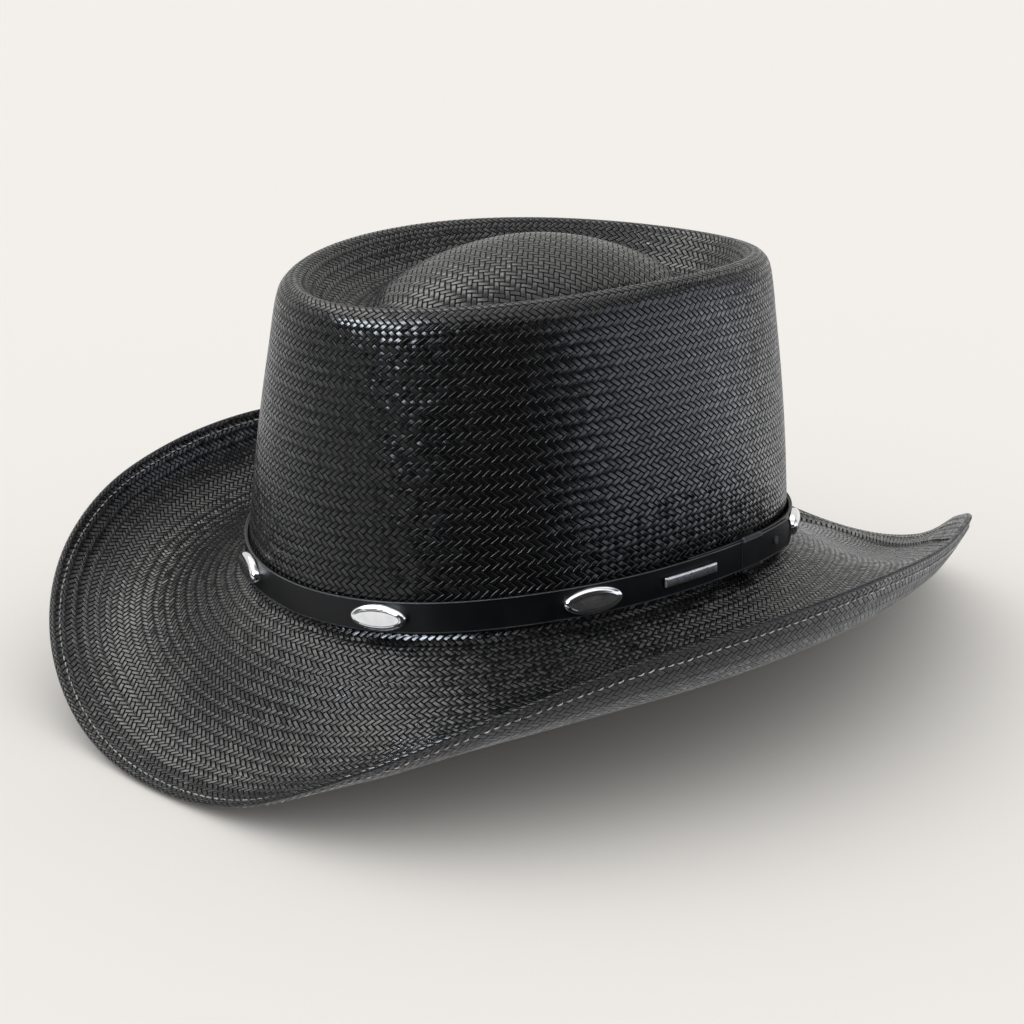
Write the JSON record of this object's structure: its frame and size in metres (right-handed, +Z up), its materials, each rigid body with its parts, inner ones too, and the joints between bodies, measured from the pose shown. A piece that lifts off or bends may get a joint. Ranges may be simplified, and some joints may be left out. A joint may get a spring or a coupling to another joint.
{
  "type": "straw cowboy hat",
  "caption": "Black woven straw western hat with a telescope crown, rolled brim sides and a leather band with oval conchos.",
  "frame": {"origin": "middle of the hat's box, on the surface that it rests on", "axes": "+Z up, -Y out of the front of the hat, +X to the wearer's left"},
  "size_m": [0.3096, 0.3598, 0.1552],
  "materials": {
    "straw": "black woven straw, satin lacquer",
    "band_leather": "smooth black leather, satin",
    "polished_metal": "polished silver-coloured plate"
  },
  "bodies": {
    "root": {"straw_body": "straw", "band_strap": "band_leather", "keeper_loop": "band_leather", "plain_bar": "polished_metal", "concho_1": "polished_metal", "concho_2": "polished_metal", "concho_3": "polished_metal", "concho_4": "polished_metal", "concho_5": "polished_metal", "concho_6": "polished_metal", "concho_7": "polished_metal", "concho_8": "polished_metal"}
  },
  "joints": []
}
